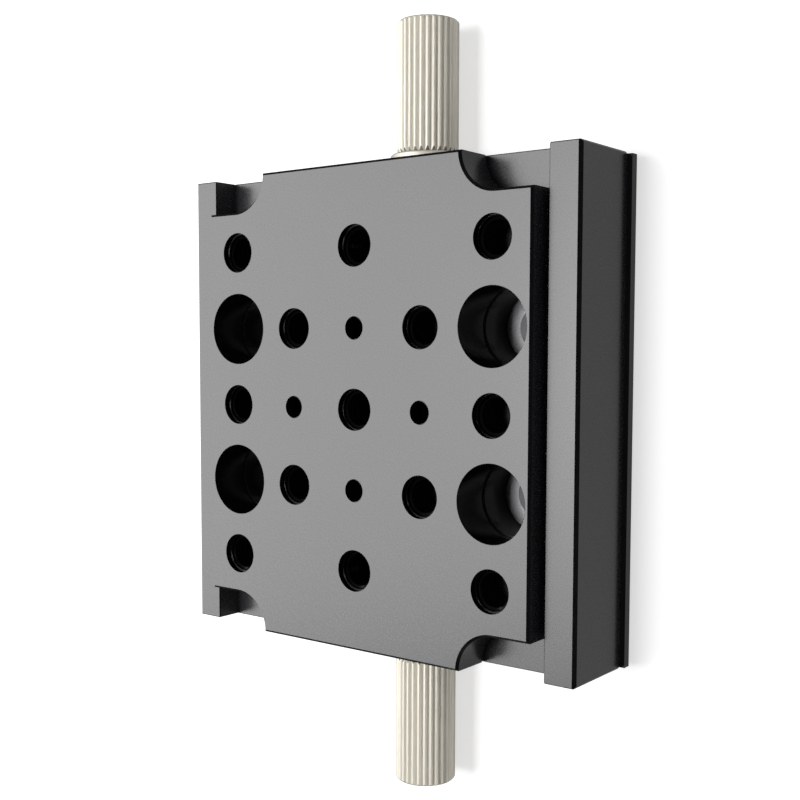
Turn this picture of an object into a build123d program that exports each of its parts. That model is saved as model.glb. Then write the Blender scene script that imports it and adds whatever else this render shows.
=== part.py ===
"""Manual linear stage: a carriage on crossed rollers, driven by a lead screw with a knob at each end.

The stage lies flat. Z = 0 is the underside of the bottom plate and +Z points out of the carriage's top
face. +Y runs along the travel and the lead screw, from the front end to the back end. +X points right.
"""

from build123d import *
from math import copysign, sqrt
import os

os.makedirs("parts", exist_ok=True)

# Stack of heights, from the table up to the carriage's top face
plate_thickness = 2.2
ledge_height = 2.8
way_height = 4.0
shoulder_height = 2.5
carriage_thickness = 6.5

# Base
base_width = 75.0
base_length = 75.0
lip_width = 5.0
lip_drop = 2.5
lip_chamfer = 0.5
edge_break = 0.3
end_wall = 4.5
plate_overhang = 0.8
plate_setback = 0.3
plate_chamfer = 0.8

# Carriage
travel = 25.0
carriage_setback = 0.0
side_gap = 1.0
deck_gap = 0.4
carriage_chamfer = 0.4
notch_radius = 5.9
notch_inset = 6.1
keel_width = 20.0
keel_floor_gap = 0.5
keel_end_gap = 0.2

# Holes on the 12.5 mm grid, in the carriage and through the base
grid = 12.5
m6_minor_radius = 2.5
m6_relief_radius = 3.2
m6_relief_depth = 1.0
small_hole_radius = 1.7
access_radius = 5.75
grid_hole_overrun = 0.3
mounting_radius = 3.3
mounting_head_radius = 5.5
mounting_head_depth = 6.0

# Crossed rollers, their cages and the V-ways
way_pair_width = 8.5
way_gap = 0.4
way_edge_break = 0.2
roller_radius = 0.75
roller_length = 1.4
roller_pitch = 2.4
roller_clearance = 0.02
cage_thickness = 0.25
cage_height = 3.4
cage_margin = 1.5
cage_stop_gap = 0.55
window_clearance = 0.05

# Lead screw and its bushes
screw_x = 5.0
screw_above_plate = 3.8
screw_radius = 2.5
screw_lead_in = 0.4
journal_radius = 2.0
journal_reach = 11.5
journal_flat = 0.3
journal_flat_length = 5.0
running_clearance = 0.03
end_play = 0.05
bush_radius = 2.8
bush_flange_radius = 3.4
bush_flange = 0.8
washer_radius = 3.3
washer_thickness = 0.5

# Nuts in the keel
tunnel_clearance = 0.5
nut_width = 8.0
nut_height = 6.6
nut_length = 12.0
lug_width = 7.5
lug_thickness = 4.0
lug_screw_offset = 4.5
lug_screw_spacing = 7.0
backlash_nut_length = 5.0
pocket_clearance = 0.05
spring_length = 5.0
spring_wire = 0.5
spring_clearance = 0.2
spring_turns = 4

# Knobs
knob_gap = 0.2
knob_flange_radius = 5.8
knob_flange = 1.75
knob_flange_chamfer = 0.2
knob_radius = 4.85
knob_length = 22.2
knob_end_chamfer = 0.3
knob_neck = 0.35
knob_neck_length = 0.7
flute_count = 30
flute_depth = 0.42
knob_cover_gap = 0.4

# Fasteners: the shares are of a cap screw's head height, and of a set screw's radius and length
seat_clearance = 0.02
tap_overrun = 0.2
cap_edge_share = 0.1
cap_socket_share = 0.6
set_point_share = 0.2
set_socket_share = 0.4
m2_radius = 1.0
m2_length = 4.5
m2_head_radius = 1.5
m2_head_height = 1.0
m2_socket = 1.3
m2_head_room = 0.1
m2_clearance_radius = 1.1
way_screw_setback = 1.75
way_screw_margin = 7.0
base_way_screw_count = 5
carriage_way_screw_count = 3
m25_radius = 1.25
m25_length = 8.0
m25_head_radius = 2.2
m25_head_height = 2.4
m25_socket = 2.0
m3_radius = 1.5
m3_length = 6.0
m3_head_radius = 2.8
m3_socket = 2.0
plate_screw_inset_x = 8.5
plate_screw_inset_y = 6.5
preload_length = 6.0
preload_socket = 1.5
preload_spacing = 22.0
knob_screw_length = 2.6
knob_screw_socket = 1.3
knob_screw_reach = 4.0
stop_plate = 0.8
stop_plate_inset = 0.2
stop_radius = 0.8
stop_length = 3.0
stop_head_radius = 1.4
stop_head_height = 0.9
stop_socket = 0.9
stop_room = 0.3

# Heights that follow
way_bottom = plate_thickness + ledge_height
way_top = way_bottom + way_height
way_z = (way_bottom + way_top) / 2
carriage_bottom = way_top + shoulder_height
stage_height = carriage_bottom + carriage_thickness
deck_z = carriage_bottom - deck_gap
lip_top = stage_height - lip_drop
keel_bottom = plate_thickness + keel_floor_gap
screw_z = plate_thickness + screw_above_plate
nut_top = screw_z + nut_height / 2

# Widths and lengths that follow
lip_inner_width = base_width - 2 * lip_width
carriage_width = lip_inner_width - 2 * side_gap
carriage_length = base_length - 2 * carriage_setback
way_width = (way_pair_width - way_gap) / 2
way_gap_x = keel_width / 2 + way_width + way_gap / 2
carriage_face_x = way_gap_x - way_gap / 2
base_face_x = way_gap_x + way_gap / 2
channel_x = keel_width / 2 + way_pair_width
wall_y = base_length / 2 - end_wall
keel_length = 2 * (wall_y - travel / 2 - keel_end_gap)
stop_stack = stop_plate + stop_head_height + stop_room
base_way_length = 2 * (wall_y - stop_stack)
carriage_way_length = keel_length - 2 * stop_stack
cage_length = carriage_way_length - travel / 2 - 2 * cage_stop_gap
roller_count = int((cage_length - 2 * cage_margin) / roller_pitch) + 1
tunnel_side = 2 * (roller_radius + roller_clearance)
grid_hole_depth = carriage_thickness + grid_hole_overrun
knob_y = base_length / 2 + knob_gap
nut_left_x = screw_x - nut_width / 2
lug_screw_x = nut_left_x - lug_screw_offset
spring_y = nut_length / 2
backlash_nut_y = spring_y + spring_length
m2_seat_depth = m2_head_height + m2_head_room
m2_thread_depth = m2_length - (way_height - m2_seat_depth) + tap_overrun
plate_screw_span_x = base_width - 2 * plate_screw_inset_x
plate_screw_span_y = base_length - 2 * plate_screw_inset_y


def spread(count, pitch):
    """Places for that many copies at a pitch, centred on zero."""
    return [(i - (count - 1) / 2) * pitch for i in range(count)]


# Places of what repeats
sides = {"left": -1, "right": 1}
ends = {"front": -1, "back": 1}
corners = [(side, end) for side in sides.values() for end in ends.values()]
m6_points = [(x, y) for x in (-2 * grid, 0, 2 * grid) for y in (-2 * grid, 0, 2 * grid)]
m6_points += [(side * grid, end * grid) for side, end in corners]
small_points = [(0, -grid), (0, grid), (-grid, 0), (grid, 0)]
base_screw_pitch = (base_way_length - 2 * way_screw_margin) / (base_way_screw_count - 1)
carriage_screw_pitch = (carriage_way_length - 2 * way_screw_margin) / (carriage_way_screw_count - 1)
base_screw_ys = spread(base_way_screw_count, base_screw_pitch)
carriage_screw_ys = spread(carriage_way_screw_count, carriage_screw_pitch)
base_screw_x = channel_x - way_screw_setback
carriage_screw_x = keel_width / 2 + way_screw_setback
base_screw_points = [(side * base_screw_x, y) for side in sides.values() for y in base_screw_ys]
carriage_screw_points = [(side * carriage_screw_x, y) for side in sides.values() for y in carriage_screw_ys]
lug_screw_points = [(lug_screw_x, -lug_screw_spacing / 2), (lug_screw_x, lug_screw_spacing / 2)]
preload_ys = (-preload_spacing, 0, preload_spacing)
roller_ys = spread(roller_count, roller_pitch)

# Planes: across the lead screw in the middle, and facing down at the heights where screws go up
screw_plane = Plane(origin=(screw_x, 0, screw_z), x_dir=(1, 0, 0), z_dir=(0, -1, 0))
way_underside = Plane(origin=(0, 0, way_bottom), x_dir=(1, 0, 0), z_dir=(0, 0, -1))
plate_underside = Plane(origin=(0, 0, 0), x_dir=(1, 0, 0), z_dir=(0, 0, -1))


def end_plane(end, y):
    """Plane across the lead screw at distance y from the middle, facing out of that end."""
    return Plane(origin=(screw_x, end * y, screw_z), x_dir=(1, 0, 0), z_dir=(0, end, 0))


def knob_screw_plane(end):
    """Plane on the lead screw's axis that faces the way the knob's set screw comes out."""
    middle = (screw_x, end * (knob_y + knob_screw_reach), screw_z)
    return Plane(origin=middle, x_dir=(0, 1, 0), z_dir=(-1, 0, -1))


# Base body: lips, deck, channel with ledges for the ways, end walls with bores for the bushes
with BuildPart() as base_body:
    with BuildSketch(Plane.XY.offset(plate_thickness)):
        Rectangle(base_width, base_length)
    extrude(amount=lip_top - plate_thickness)
    chamfer(base_body.edges().filter_by(Axis.Z), edge_break)
    top_edges = base_body.faces().sort_by(Axis.Z)[-1].edges().filter_by(Axis.Y).sort_by(Axis.X)
    chamfer([top_edges[0], top_edges[-1]], lip_chamfer)
    with BuildSketch(Plane.XY.offset(deck_z)):
        Rectangle(lip_inner_width, base_length)
    extrude(amount=lip_top - deck_z, mode=Mode.SUBTRACT)
    with BuildSketch(Plane.XY.offset(plate_thickness)):
        Rectangle(2 * base_face_x, 2 * wall_y)
    extrude(amount=deck_z - plate_thickness, mode=Mode.SUBTRACT)
    with BuildSketch(Plane.XY.offset(way_bottom)):
        Rectangle(2 * channel_x, 2 * wall_y)
    extrude(amount=deck_z - way_bottom, mode=Mode.SUBTRACT)
    with Locations((0, 0, deck_z)):
        with GridLocations(4 * grid, 2 * grid, 2, 2):
            CounterBoreHole(mounting_radius, mounting_head_radius, mounting_head_depth)
    with BuildSketch(Plane.XY.offset(way_bottom)):
        with Locations(*base_screw_points):
            Circle(m2_radius + seat_clearance)
    extrude(amount=-m2_thread_depth, mode=Mode.SUBTRACT)
    with BuildSketch(Plane.XY.offset(plate_thickness)):
        with GridLocations(plate_screw_span_x, plate_screw_span_y, 2, 2):
            Circle(m3_radius + seat_clearance)
    extrude(amount=m3_length - plate_thickness + tap_overrun, mode=Mode.SUBTRACT)
    with BuildSketch(Plane.YZ.offset(-base_width / 2)):
        with Locations(*[(y, way_z) for y in preload_ys]):
            Circle(m3_radius + seat_clearance)
    extrude(amount=base_width / 2 - channel_x, mode=Mode.SUBTRACT)
    for end in ends.values():
        with BuildSketch(end_plane(end, wall_y)):
            Circle(bush_flange_radius + seat_clearance)
        extrude(amount=bush_flange + washer_thickness, mode=Mode.SUBTRACT)
        with BuildSketch(end_plane(end, wall_y)):
            Circle(bush_radius + seat_clearance)
        extrude(amount=end_wall, mode=Mode.SUBTRACT)
base_body.part.label = "base_body"
export_step(base_body.part, "parts/base_body.step")

# Bottom plate: closes the channel and stands proud of the base's sides
with BuildPart() as bottom_plate:
    with BuildSketch():
        Rectangle(base_width + 2 * plate_overhang, base_length - 2 * plate_setback)
    extrude(amount=plate_thickness)
    chamfer(bottom_plate.faces().sort_by(Axis.Z)[0].edges(), plate_chamfer)
    with GridLocations(4 * grid, 2 * grid, 2, 2):
        Hole(mounting_radius)
    with Locations(plate_underside):
        with GridLocations(plate_screw_span_x, plate_screw_span_y, 2, 2):
            CounterSinkHole(m3_radius + seat_clearance, m3_head_radius + seat_clearance)
bottom_plate.part.label = "bottom_plate"
export_step(bottom_plate.part, "parts/bottom_plate.step")

# Countersunk screw: the flat of its head at Z = 0, its point up
with BuildPart() as plate_screw:
    Cylinder(m3_radius, m3_length, align=(Align.CENTER, Align.CENTER, Align.MIN))
    with BuildSketch():
        Circle(m3_head_radius)
    extrude(amount=m3_head_radius - m3_radius, taper=45)
    with BuildSketch():
        RegularPolygon(m3_socket / 2, 6, major_radius=False)
    extrude(amount=m3_head_radius - m3_radius, mode=Mode.SUBTRACT)

with BuildPart() as bottom_plate_screws:
    with GridLocations(plate_screw_span_x, plate_screw_span_y, 2, 2):
        add(plate_screw.part)
bottom_plate_screws.part.label = "bottom_plate_screws"
export_step(bottom_plate_screws.part, "parts/bottom_plate_screws.step")


def cap_screw(radius, length, head_radius, head_height, socket):
    """Socket-head screw: under-head face at Z = 0, head up, thread down."""
    with BuildPart() as screw:
        Cylinder(head_radius, head_height, align=(Align.CENTER, Align.CENTER, Align.MIN))
        chamfer(screw.edges().group_by(Axis.Z)[-1], cap_edge_share * head_height)
        with BuildSketch(Plane.XY.offset(head_height)):
            RegularPolygon(socket / 2, 6, major_radius=False)
        extrude(amount=-cap_socket_share * head_height, mode=Mode.SUBTRACT)
        Cylinder(radius, length, align=(Align.CENTER, Align.CENTER, Align.MAX))
    return screw.part


def set_screw(radius, length, socket):
    """Headless screw along Z, its socket end at Z = 0 and its point at Z = -length."""
    with BuildPart() as screw:
        Cylinder(radius, length, align=(Align.CENTER, Align.CENTER, Align.MAX))
        chamfer(screw.edges().group_by(Axis.Z)[0], set_point_share * radius)
        with BuildSketch():
            RegularPolygon(socket / 2, 6, major_radius=False)
        extrude(amount=-set_socket_share * length, mode=Mode.SUBTRACT)
    return screw.part


def make_way(side, back_x, face_x, length, screw_ys, head_plane):
    """V-way from its plain back to its grooved face, counterbored from the head plane."""
    screw_line = side * (back_x + copysign(way_screw_setback, face_x - back_x))
    with BuildPart() as bar:
        with BuildSketch(Plane.XZ) as profile:
            with Locations((side * (back_x + face_x) / 2, way_z)):
                Rectangle(way_width, way_height)
            chamfer(profile.vertices(), way_edge_break)
            with Locations((side * way_gap_x, way_z)):
                Rectangle(tunnel_side, tunnel_side, rotation=45, mode=Mode.SUBTRACT)
        extrude(amount=length / 2, both=True)
        with Locations(head_plane):
            with Locations(*[(screw_line, y) for y in screw_ys]):
                CounterBoreHole(m2_clearance_radius, m2_head_radius + m2_head_room, m2_seat_depth)
        for end in ends.values():
            with BuildSketch(Plane(origin=(screw_line, end * length / 2, way_z), z_dir=(0, end, 0))):
                Circle(stop_radius + seat_clearance)
            extrude(amount=stop_plate - stop_length - tap_overrun, mode=Mode.SUBTRACT)
    return bar.part


def make_stop_plates(back_x, face_x, length):
    """The four plates on the ends of a pair of ways, which keep the roller cages in."""
    screw_line = back_x + copysign(way_screw_setback, face_x - back_x)
    with BuildPart() as plates:
        for side, end in corners:
            with BuildSketch(Plane.XZ.offset(-end * length / 2)):
                with Locations((side * (back_x + face_x) / 2, way_z)):
                    RectangleRounded(
                        way_width - 2 * stop_plate_inset, way_height - 2 * stop_plate_inset, stop_plate_inset
                    )
                with Locations((side * screw_line, way_z)):
                    Circle(stop_radius + seat_clearance, mode=Mode.SUBTRACT)
            extrude(amount=-end * stop_plate)
    return plates.part


def make_stop_screws(back_x, face_x, length):
    """The four small screws that hold those plates."""
    screw_line = back_x + copysign(way_screw_setback, face_x - back_x)
    head_y = length / 2 + stop_plate
    seats = [Plane((side * screw_line, end * head_y, way_z), z_dir=(0, end, 0)) for side, end in corners]
    screw = cap_screw(stop_radius, stop_length, stop_head_radius, stop_head_height, stop_socket)
    with BuildPart() as screws:
        with Locations(*seats):
            add(screw)
    return screws.part


# Ways of the base, on its ledges, and of the carriage, against its keel
for name, side in sides.items():
    base_way = make_way(
        side, channel_x, base_face_x, base_way_length, base_screw_ys, Plane.XY.offset(way_top)
    )
    base_way.label = f"base_way_{name}"
    export_step(base_way, f"parts/base_way_{name}.step")
    carriage_way = make_way(
        side, keel_width / 2, carriage_face_x, carriage_way_length, carriage_screw_ys, way_underside
    )
    carriage_way.label = f"carriage_way_{name}"
    export_step(carriage_way, f"parts/carriage_way_{name}.step")

# Screws that hold the ways: the base's go down into its ledges, the carriage's go up into its shoulder
way_screw = cap_screw(m2_radius, m2_length, m2_head_radius, m2_head_height, m2_socket)
with BuildPart() as base_way_screws:
    with Locations(Plane.XY.offset(way_top - m2_seat_depth)):
        with Locations(*base_screw_points):
            add(way_screw)
base_way_screws.part.label = "base_way_screws"
export_step(base_way_screws.part, "parts/base_way_screws.step")

with BuildPart() as carriage_way_screws:
    with Locations(way_underside.offset(-m2_seat_depth)):
        with Locations(*carriage_screw_points):
            add(way_screw)
carriage_way_screws.part.label = "carriage_way_screws"
export_step(carriage_way_screws.part, "parts/carriage_way_screws.step")

# Stops on the ends of the ways
for name, back_x, face_x, length in (
    ("base", channel_x, base_face_x, base_way_length),
    ("carriage", keel_width / 2, carriage_face_x, carriage_way_length),
):
    stop_plates = make_stop_plates(back_x, face_x, length)
    stop_plates.label = f"{name}_way_stop_plates"
    export_step(stop_plates, f"parts/{name}_way_stop_plates.step")
    stop_screws = make_stop_screws(back_x, face_x, length)
    stop_screws.label = f"{name}_way_stop_screws"
    export_step(stop_screws, f"parts/{name}_way_stop_screws.step")

# Set screws in the left side wall, which press the left way towards the rollers
with BuildPart() as preload_screws:
    preload_plane = Plane(origin=(-channel_x - preload_length, 0, way_z), x_dir=(0, 1, 0), z_dir=(-1, 0, 0))
    with Locations(preload_plane):
        with Locations(*[(y, 0) for y in preload_ys]):
            add(set_screw(m3_radius, preload_length, preload_socket))
preload_screws.part.label = "preload_screws"
export_step(preload_screws.part, "parts/preload_screws.step")

# Roller cages and their rollers, crossed one left, one right
window_length = 2 * (roller_radius + window_clearance)
window_height = 2 * ((roller_radius + roller_length / 2) / sqrt(2) + window_clearance)
for name, side in sides.items():
    with BuildPart() as cage:
        with BuildSketch(Plane.YZ.offset(side * way_gap_x - cage_thickness / 2)):
            with Locations((0, way_z)):
                RectangleRounded(cage_length, cage_height, cage_thickness)
            with Locations(*[(y, way_z) for y in roller_ys]):
                Rectangle(window_length, window_height, mode=Mode.SUBTRACT)
        extrude(amount=cage_thickness)
    cage.part.label = f"roller_cage_{name}"
    export_step(cage.part, f"parts/roller_cage_{name}.step")

    with BuildPart() as rollers:
        for i, y in enumerate(roller_ys):
            lean = 1 if i % 2 else -1
            with Locations(Plane(origin=(side * way_gap_x, y, way_z), x_dir=(0, 1, 0), z_dir=(lean, 0, 1))):
                Cylinder(roller_radius, roller_length)
    rollers.part.label = f"cross_rollers_{name}"
    export_step(rollers.part, f"parts/cross_rollers_{name}.step")

# Lead screw: thread between the thrust washers, a journal through each bush and knob
with BuildPart() as lead_screw:
    with BuildSketch(screw_plane):
        Circle(screw_radius)
    extrude(amount=wall_y - end_play, both=True)
    chamfer(lead_screw.edges().filter_by(GeomType.CIRCLE), screw_lead_in)
    with BuildSketch(screw_plane):
        Circle(journal_radius)
    extrude(amount=knob_y + journal_reach, both=True)
    journal_ends = lead_screw.edges().filter_by(GeomType.CIRCLE).group_by(Axis.Y)
    chamfer(journal_ends[0] + journal_ends[-1], edge_break)
    for end in ends.values():
        with BuildSketch(knob_screw_plane(end).offset(journal_radius - journal_flat)):
            Rectangle(journal_flat_length, 2 * journal_radius)
        extrude(amount=journal_flat, mode=Mode.SUBTRACT)
lead_screw.part.label = "lead_screw"
export_step(lead_screw.part, "parts/lead_screw.step")

for name, end in ends.items():
    # Flanged bush in the end wall, with a thrust washer between its flange and the screw's shoulder
    with BuildPart() as bush:
        with BuildSketch(end_plane(end, wall_y + washer_thickness)):
            Circle(bush_flange_radius)
        extrude(amount=bush_flange)
        with BuildSketch(end_plane(end, wall_y + washer_thickness + bush_flange)):
            Circle(bush_radius)
        extrude(amount=end_wall - washer_thickness - bush_flange)
        with BuildSketch(end_plane(end, wall_y)):
            Circle(journal_radius + running_clearance)
        extrude(amount=end_wall, mode=Mode.SUBTRACT)
    bush.part.label = f"screw_bush_{name}"
    export_step(bush.part, f"parts/screw_bush_{name}.step")

    with BuildPart() as washer:
        with BuildSketch(end_plane(end, wall_y)):
            Circle(washer_radius)
            Circle(journal_radius + running_clearance, mode=Mode.SUBTRACT)
        extrude(amount=washer_thickness)
    washer.part.label = f"thrust_washer_{name}"
    export_step(washer.part, f"parts/thrust_washer_{name}.step")

    # Knob: flange, fluted barrel with a beveled end and a relieved neck, blind bore for the journal
    with BuildPart() as knob:
        with BuildSketch(end_plane(end, knob_y)):
            Circle(knob_flange_radius)
        extrude(amount=knob_flange)
        chamfer(knob.edges(), knob_flange_chamfer)
        with BuildSketch(end_plane(end, knob_y + knob_flange)):
            Circle(knob_radius)
            with PolarLocations(knob_radius, flute_count):
                RegularPolygon(flute_depth, 4, mode=Mode.SUBTRACT)
        extrude(amount=knob_length - knob_flange)
        with BuildSketch(Plane(origin=(screw_x, 0, screw_z), x_dir=(0, end, 0), z_dir=(0, 0, 1))):
            neck_y = knob_y + knob_flange
            end_y = knob_y + knob_length
            outside = knob_radius + knob_neck
            Polygon(
                (neck_y, knob_radius - knob_neck),
                (neck_y + knob_neck_length, outside),
                (neck_y, outside),
                align=None,
            )
            Polygon(
                (end_y, knob_radius - knob_end_chamfer),
                (end_y - knob_end_chamfer - knob_neck, outside),
                (end_y, outside),
                align=None,
            )
        revolve(axis=Axis((screw_x, 0, screw_z), (0, 1, 0)), mode=Mode.SUBTRACT)
        with BuildSketch(end_plane(end, knob_y)):
            Circle(journal_radius + seat_clearance)
        extrude(amount=journal_reach + tap_overrun, mode=Mode.SUBTRACT)
        with BuildSketch(knob_screw_plane(end)):
            Circle(m25_radius + seat_clearance)
        extrude(amount=knob_flange_radius, mode=Mode.SUBTRACT)
    knob.part.label = f"knob_{name}"
    export_step(knob.part, f"parts/knob_{name}.step")

# Set screws that hold the knobs on the journals' flats
with BuildPart() as knob_set_screws:
    for end in ends.values():
        with Locations(knob_screw_plane(end).offset(journal_radius - journal_flat + knob_screw_length)):
            add(set_screw(m25_radius, knob_screw_length, knob_screw_socket))
knob_set_screws.part.label = "knob_set_screws"
export_step(knob_set_screws.part, "parts/knob_set_screws.step")

# Carriage: notched plate with a shoulder over the ways and a keel that holds the nuts
with BuildPart() as carriage:
    with BuildSketch(Plane.XY.offset(carriage_bottom)):
        Rectangle(carriage_width, carriage_length)
        notch_x = carriage_width / 2 - notch_inset
        for side, end in corners:
            with Locations((side * notch_x, end * carriage_length / 2)):
                Circle(notch_radius, mode=Mode.SUBTRACT)
            with Locations((side * (notch_x + notch_inset / 2), end * carriage_length / 2)):
                Rectangle(notch_inset, 2 * notch_radius, mode=Mode.SUBTRACT)
    extrude(amount=carriage_thickness)
    chamfer(carriage.faces().sort_by(Axis.Z)[-1].edges(), carriage_chamfer)
    with BuildSketch(Plane.XY.offset(way_top)):
        Rectangle(2 * carriage_face_x, keel_length)
    extrude(amount=shoulder_height)
    with BuildSketch(Plane.XY.offset(keel_bottom)):
        Rectangle(keel_width, keel_length)
    extrude(amount=way_top - keel_bottom)
    with BuildSketch(screw_plane):
        Circle(screw_radius + tunnel_clearance)
        with Locations((0, (keel_bottom - screw_z) / 2)):
            Rectangle(2 * (screw_radius + tunnel_clearance), screw_z - keel_bottom)
    extrude(amount=keel_length / 2, both=True, mode=Mode.SUBTRACT)
    with BuildSketch(Plane.XY.offset(keel_bottom)):
        pocket_right = screw_x + nut_width / 2 + pocket_clearance
        pocket_left = nut_left_x - pocket_clearance
        lug_left = nut_left_x - lug_width - pocket_clearance
        pocket_front = -nut_length / 2 - pocket_clearance
        lug_back = nut_length / 2 + pocket_clearance
        pocket_back = backlash_nut_y + backlash_nut_length + tunnel_clearance
        with Locations(((pocket_left + pocket_right) / 2, (pocket_front + pocket_back) / 2)):
            Rectangle(pocket_right - pocket_left, pocket_back - pocket_front)
        with Locations(((lug_left + pocket_right) / 2, (pocket_front + lug_back) / 2)):
            Rectangle(pocket_right - lug_left, lug_back - pocket_front)
    extrude(amount=nut_top - keel_bottom, mode=Mode.SUBTRACT)
    with Locations(Plane.XY.offset(stage_height)):
        with Locations(*m6_points):
            CounterBoreHole(m6_minor_radius, m6_relief_radius, m6_relief_depth, depth=grid_hole_depth)
        with Locations(*small_points):
            Hole(small_hole_radius, depth=grid_hole_depth)
        with GridLocations(4 * grid, 2 * grid, 2, 2):
            Hole(access_radius, depth=grid_hole_depth)
    with BuildSketch(Plane.XY.offset(way_top)):
        with Locations(*carriage_screw_points):
            Circle(m2_radius + seat_clearance)
    extrude(amount=m2_thread_depth, mode=Mode.SUBTRACT)
    with BuildSketch(Plane.XY.offset(nut_top)):
        with Locations(*lug_screw_points):
            Circle(m25_radius + seat_clearance)
    extrude(amount=m25_length - lug_thickness + tap_overrun, mode=Mode.SUBTRACT)
    for end in ends.values():
        # Relief under this end, which keeps the plate off the knob's flange over the whole travel
        with BuildSketch(end_plane(end, knob_y - travel / 2 - knob_cover_gap)):
            Circle(knob_flange_radius + knob_cover_gap)
        extrude(amount=travel, mode=Mode.SUBTRACT)
carriage.part.label = "carriage"
export_step(carriage.part, "parts/carriage.step")

# Drive nut: a block on the screw with a lug that is screwed up against the keel
with BuildPart() as lead_nut:
    with BuildSketch(Plane.XZ) as nut_profile:
        with Locations((screw_x, screw_z)):
            Rectangle(nut_width, nut_height)
        with Locations((nut_left_x - lug_width / 2, nut_top - lug_thickness / 2)):
            Rectangle(lug_width, lug_thickness)
        with Locations((screw_x, screw_z)):
            Circle(screw_radius + running_clearance, mode=Mode.SUBTRACT)
    extrude(amount=nut_length / 2, both=True)
    with Locations(Plane.XY.offset(nut_top)):
        with Locations(*lug_screw_points):
            Hole(m25_radius + seat_clearance)
lead_nut.part.label = "lead_nut"
export_step(lead_nut.part, "parts/lead_nut.step")

with BuildPart() as lead_nut_screws:
    with Locations(Plane(origin=(0, 0, nut_top - lug_thickness), x_dir=(1, 0, 0), z_dir=(0, 0, -1))):
        with Locations(*lug_screw_points):
            add(cap_screw(m25_radius, m25_length, m25_head_radius, m25_head_height, m25_socket))
lead_nut_screws.part.label = "lead_nut_screws"
export_step(lead_nut_screws.part, "parts/lead_nut_screws.step")

# Second nut, which the keel's pocket keeps from turning, and the spring that pushes it off the first
with BuildPart() as backlash_nut:
    with BuildSketch(Plane.XZ.offset(-backlash_nut_y)):
        with Locations((screw_x, screw_z)):
            Rectangle(nut_width, nut_height)
            Circle(screw_radius + running_clearance, mode=Mode.SUBTRACT)
    extrude(amount=-backlash_nut_length)
backlash_nut.part.label = "backlash_nut"
export_step(backlash_nut.part, "parts/backlash_nut.step")

spring_radius = screw_radius + spring_clearance + spring_wire / 2
coil_height = spring_length - spring_wire
with BuildPart() as backlash_spring:
    with BuildLine() as coil:
        coil_start = (screw_x, spring_y + spring_wire / 2, screw_z)
        Helix(coil_height / spring_turns, coil_height, spring_radius, center=coil_start, direction=(0, 1, 0))
    with BuildSketch(Plane(origin=coil.line @ 0, z_dir=coil.line % 0)):
        Circle(spring_wire / 2)
    sweep(is_frenet=True)
backlash_spring.part.label = "backlash_spring"
export_step(backlash_spring.part, "parts/backlash_spring.step")
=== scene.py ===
"""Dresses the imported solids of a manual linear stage: finishes, threads, fluted knobs and a studio.

Everything is in metres, in the frame of the solids: Z = 0 is the table, +Z points out of the carriage's
top face, and +Y runs along the travel and the lead screw.
"""

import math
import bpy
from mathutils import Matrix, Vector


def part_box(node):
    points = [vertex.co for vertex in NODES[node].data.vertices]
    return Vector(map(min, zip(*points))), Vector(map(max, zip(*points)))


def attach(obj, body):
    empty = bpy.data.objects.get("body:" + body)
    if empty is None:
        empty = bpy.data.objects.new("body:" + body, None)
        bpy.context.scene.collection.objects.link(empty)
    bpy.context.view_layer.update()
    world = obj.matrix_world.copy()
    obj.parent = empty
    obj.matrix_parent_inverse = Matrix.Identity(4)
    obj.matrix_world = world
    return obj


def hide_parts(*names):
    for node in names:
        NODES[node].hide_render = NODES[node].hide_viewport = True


bl_info = {
    "name": "Manual Linear Stage",
    "version": (1, 0, 0),
    "blender": (4, 5, 0),
    "location": "3D View > Sidebar > Linear Stage",
    "description": "Dresses a manual linear stage: finishes, threads, fluted knobs and a studio",
    "category": "Object",
}

import bmesh
import bpy
from mathutils import Matrix, Vector

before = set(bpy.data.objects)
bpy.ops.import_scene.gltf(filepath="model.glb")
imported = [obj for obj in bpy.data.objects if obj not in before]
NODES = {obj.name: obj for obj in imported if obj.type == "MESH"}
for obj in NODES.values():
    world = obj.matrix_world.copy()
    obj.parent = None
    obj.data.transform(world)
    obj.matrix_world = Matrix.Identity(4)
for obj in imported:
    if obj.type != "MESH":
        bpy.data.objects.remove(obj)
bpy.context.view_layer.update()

MM = 0.001


def linear(code):
    """An sRGB hex colour as linear red, green, blue and alpha."""
    channels = [int(code[i : i + 2], 16) / 255 for i in (0, 2, 4)]
    return tuple(c / 12.92 if c <= 0.04045 else ((c + 0.055) / 1.055) ** 2.4 for c in channels) + (1.0,)


WHITE = linear("FFFFFF")


def add(tree, kind, values=None, links=None, **settings):
    """Adds a node with its settings, the values of its sockets, and what feeds its sockets: an output, or
    a node for its first output."""
    node = tree.nodes.new(kind)
    for name, value in settings.items():
        setattr(node, name, value)
    for socket, value in (values or {}).items():
        node.inputs[socket].default_value = value
    for socket, source in (links or {}).items():
        output = source.outputs[0] if isinstance(source, bpy.types.Node) else source
        tree.links.new(output, node.inputs[socket])
    return node


# Sizes and colours that a user would change
class StageFinishes(bpy.types.PropertyGroup):
    anodise: bpy.props.FloatVectorProperty(
        name="Anodised aluminium",
        description="Colour of the dyed oxide on the base, plate and carriage",
        subtype="COLOR",
        size=4,
        min=0.0,
        max=1.0,
        default=linear("222225"),
    )
    anodise_roughness: bpy.props.FloatProperty(
        name="Anodised roughness",
        description="Softness of the gloss on the blasted and anodised faces",
        subtype="FACTOR",
        min=0.0,
        max=1.0,
        default=0.28,
    )
    knob: bpy.props.FloatVectorProperty(
        name="Satin nickel",
        description="Colour of the plating on the knobs",
        subtype="COLOR",
        size=4,
        min=0.0,
        max=1.0,
        default=linear("E6E2D8"),
    )
    knob_roughness: bpy.props.FloatProperty(
        name="Nickel roughness",
        description="Softness of the gloss on the knobs",
        subtype="FACTOR",
        min=0.0,
        max=1.0,
        default=0.66,
    )


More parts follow.
